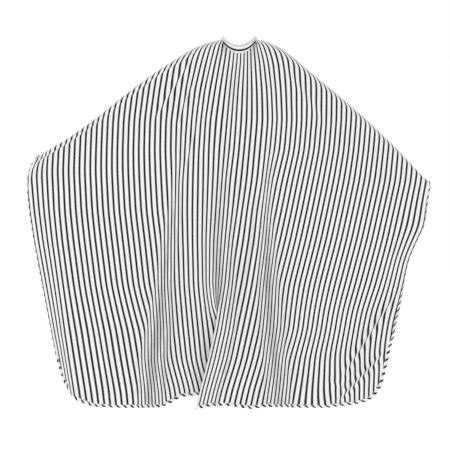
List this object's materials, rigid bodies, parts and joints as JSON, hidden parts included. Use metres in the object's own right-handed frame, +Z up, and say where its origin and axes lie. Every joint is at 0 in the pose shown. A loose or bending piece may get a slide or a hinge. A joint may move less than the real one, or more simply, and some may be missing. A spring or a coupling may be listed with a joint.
{
  "type": "barber cape",
  "caption": "Pinstriped barber cape worn over raised arms, with a snap-closing neckband and bound edges; the back corners lift and the closure tab peels open.",
  "frame": {"origin": "centre of the neck opening, level with the band's middle at the sides of the neck", "axes": "+Z up, the wearer faces -Y, +X to the right as seen from the front"},
  "size_m": [1.522, 0.1931, 1.386],
  "materials": {
    "striped_cloth": "white with black pinstripes, light plain weave",
    "bias_binding": "striped cloth cut on the bias",
    "lining_cloth": "plain white cotton",
    "interlining": "stiff non-woven",
    "snap_metal": "nickel plated"
  },
  "bodies": {
    "cape": {"front_panel": "striped_cloth", "front_edge_binding": "bias_binding", "left_shoulder_cloth": "striped_cloth", "right_shoulder_cloth": "striped_cloth", "neckband_outer": "striped_cloth", "neckband_interlining": "interlining", "neckband_lining": "lining_cloth", "closure_patch": "striped_cloth", "tab_root": "striped_cloth", "snap_sockets": "snap_metal", "snap_backs": "snap_metal"},
    "left_flap": {"left_back_flap": "striped_cloth", "left_flap_binding": "bias_binding"},
    "right_flap": {"right_back_flap": "striped_cloth", "right_flap_binding": "bias_binding"},
    "closure_tab": {"tab_outer": "striped_cloth", "tab_interlining": "interlining", "tab_lining": "lining_cloth", "snap_studs": "snap_metal", "snap_caps": "snap_metal"}
  },
  "joints": [
    {"name": "left_flap_lift", "type": "hinge", "parent": "cape", "child": "left_flap", "pos_m": [-0.026, 0.077, -0.05], "axis": [0.8606, 0.0794, 0.503], "range_deg": [0, 75]},
    {"name": "right_flap_lift", "type": "hinge", "parent": "cape", "child": "right_flap", "pos_m": [0.026, 0.077, -0.05], "axis": [0.8092, -0.0833, -0.5817], "range_deg": [0, 75]},
    {"name": "closure_tab_peel", "type": "hinge", "parent": "cape", "child": "closure_tab", "pos_m": [-0.03483, 0.06233, -0.03], "axis": [0, 0, 1], "range_deg": [0, 100]}
  ]
}
